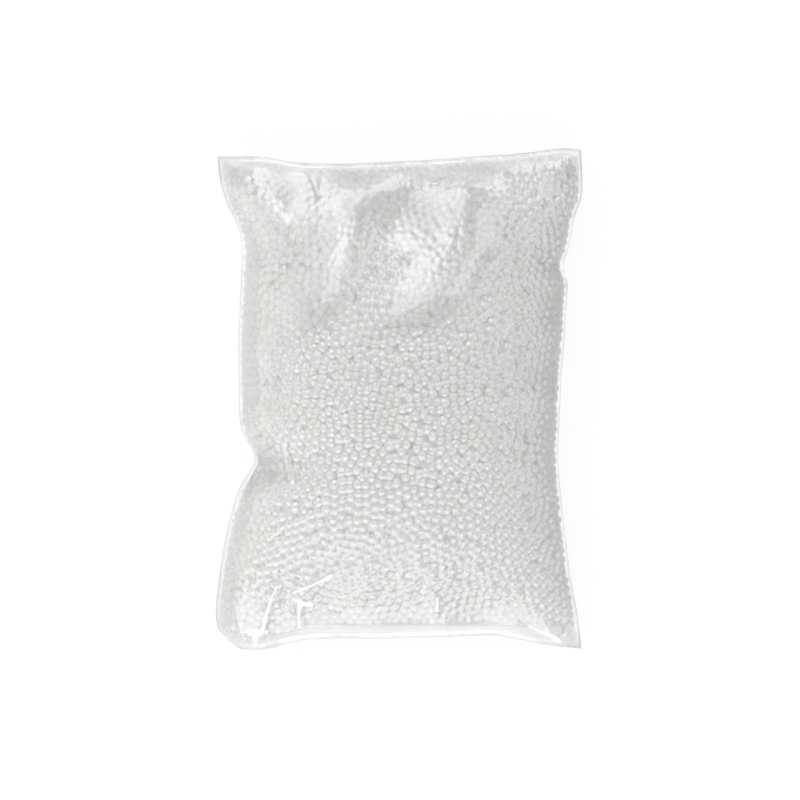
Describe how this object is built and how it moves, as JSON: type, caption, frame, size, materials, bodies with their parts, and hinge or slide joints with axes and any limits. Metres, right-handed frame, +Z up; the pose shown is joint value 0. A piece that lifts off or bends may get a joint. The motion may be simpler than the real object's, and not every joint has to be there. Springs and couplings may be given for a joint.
{
  "type": "bag of polystyrene beads",
  "caption": "Clear thin-film pillow bag, welded at both ends and full of loose white expanded polystyrene beads, lying on its back.",
  "frame": {"origin": "on the surface that the bag lies on, under the middle of its outline", "axes": "+Z up, +Y along the bag towards its top weld, +X to the right as seen from above"},
  "size_m": [0.2099, 0.287, 0.0581],
  "materials": {
    "clear_film": "thin crisp clear film, glossy",
    "white_beads": "white expanded polystyrene, satin"
  },
  "bodies": {
    "root": {"bag_film": "clear_film", "bead_fill": "white_beads"}
  },
  "joints": []
}
